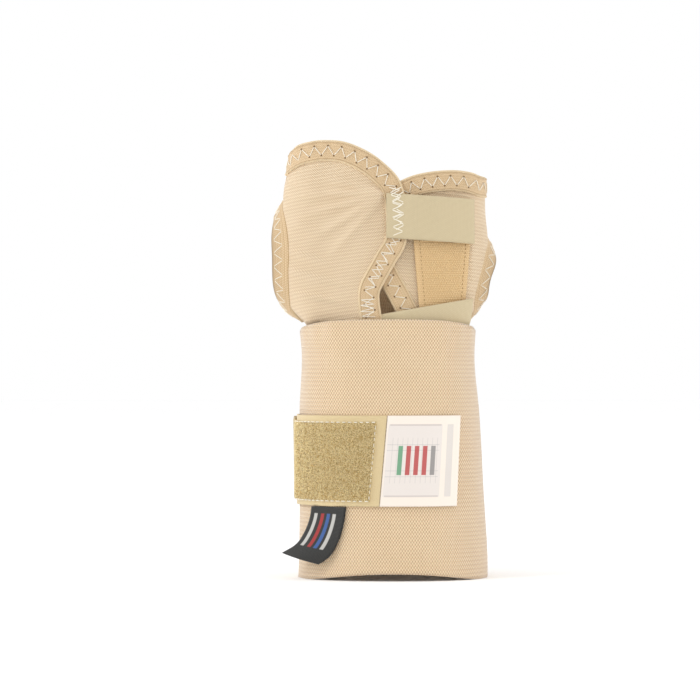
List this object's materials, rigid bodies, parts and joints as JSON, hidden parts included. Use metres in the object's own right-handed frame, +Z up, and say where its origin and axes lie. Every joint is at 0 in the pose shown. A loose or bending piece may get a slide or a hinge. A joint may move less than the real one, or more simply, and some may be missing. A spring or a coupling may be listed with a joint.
{
  "type": "elastic wrist splint",
  "caption": "Beige elastic wrist splint with overlapping hand flaps, hook-and-loop straps, thumb holes on both sides, a wrap-around cuff and a stay in a palm pocket.",
  "frame": {"origin": "middle of the bounding box, on the plane of the cuff's lower edge", "axes": "+Z up along the forearm towards the fingers, -Y the back of the hand, +X the little-finger side of a right hand"},
  "size_m": [0.098, 0.0746, 0.1907],
  "materials": {
    "knit_fabric": "fine ribbed elastic knit, matt",
    "binding_tape": "folded elastic binding with zigzag stitching, matt",
    "smooth_tape": "smooth woven tape, slight sheen",
    "hook_tape": "tape with a field of small moulded hooks, satin",
    "cuff_elastic": "wide woven elastic, matt",
    "loop_pile": "brushed loop pile",
    "white_label": "printed satin label, blank of words and marks",
    "black_label": "folded woven label",
    "stay_metal": "brushed, flat bar",
    "soft_cap": "dipped soft cap"
  },
  "bodies": {
    "splint_body": {"palm_panel": "knit_fabric", "palm_upper_binding": "binding_tape", "ulnar_flap": "knit_fabric", "ulnar_flap_binding": "binding_tape", "fastener_strip": "hook_tape", "thumb_hole_binding_radial": "binding_tape", "thumb_hole_binding_ulnar": "binding_tape", "wrist_strap": "smooth_tape", "wrist_strap_pile": "loop_pile", "stay_pocket": "knit_fabric", "pocket_mouth_binding": "binding_tape", "cuff_band": "cuff_elastic", "loop_patch": "loop_pile", "blank_label": "white_label"},
    "radial_flap": {"radial_flap": "knit_fabric", "radial_flap_binding": "binding_tape", "hand_strap_sewn_end": "smooth_tape"},
    "hand_strap": {"hand_strap": "smooth_tape", "hand_strap_pile": "loop_pile"},
    "cuff_end": {"cuff_end": "cuff_elastic", "closure_tab_sewn_end": "smooth_tape"},
    "closure_tab": {"closure_tab": "smooth_tape", "closure_tab_hooks": "hook_tape"},
    "stay": {"palmar_stay": "stay_metal", "stay_tip_upper": "soft_cap", "stay_tip_lower": "soft_cap"},
    "side_label": {"side_label": "black_label"}
  },
  "joints": [
    {"name": "radial_flap_open", "type": "hinge", "parent": "splint_body", "child": "radial_flap", "pos_m": [-0.03986, -0.01165, 0.15], "axis": [0, 0, -1], "range_deg": [0, 70]},
    {"name": "hand_strap_peel", "type": "hinge", "parent": "radial_flap", "child": "hand_strap", "pos_m": [0.00869, -0.0238, 0.157], "axis": [0, 0, -1], "range_deg": [0, 110]},
    {"name": "cuff_end_open", "type": "hinge", "parent": "splint_body", "child": "cuff_end", "pos_m": [0.04519, 0.005, 0.055], "axis": [0, 0, -1], "range_deg": [0, 100]},
    {"name": "closure_tab_peel", "type": "hinge", "parent": "cuff_end", "child": "closure_tab", "pos_m": [-0.01438, 0.0362, 0.0515], "axis": [0, 0, -1], "range_deg": [0, 90]},
    {"name": "stay_slide", "type": "hinge", "parent": "splint_body", "child": "stay", "pos_m": [0.00169, -1.17375, 0.095], "axis": [1, 0, 0], "range_deg": [0, 7.9]},
    {"name": "side_label_flip", "type": "hinge", "parent": "splint_body", "child": "side_label", "pos_m": [-0.02456, -0.03006, 0.0306], "axis": [-0.8299, 0.5579, 0], "range_deg": [0, 110]}
  ]
}
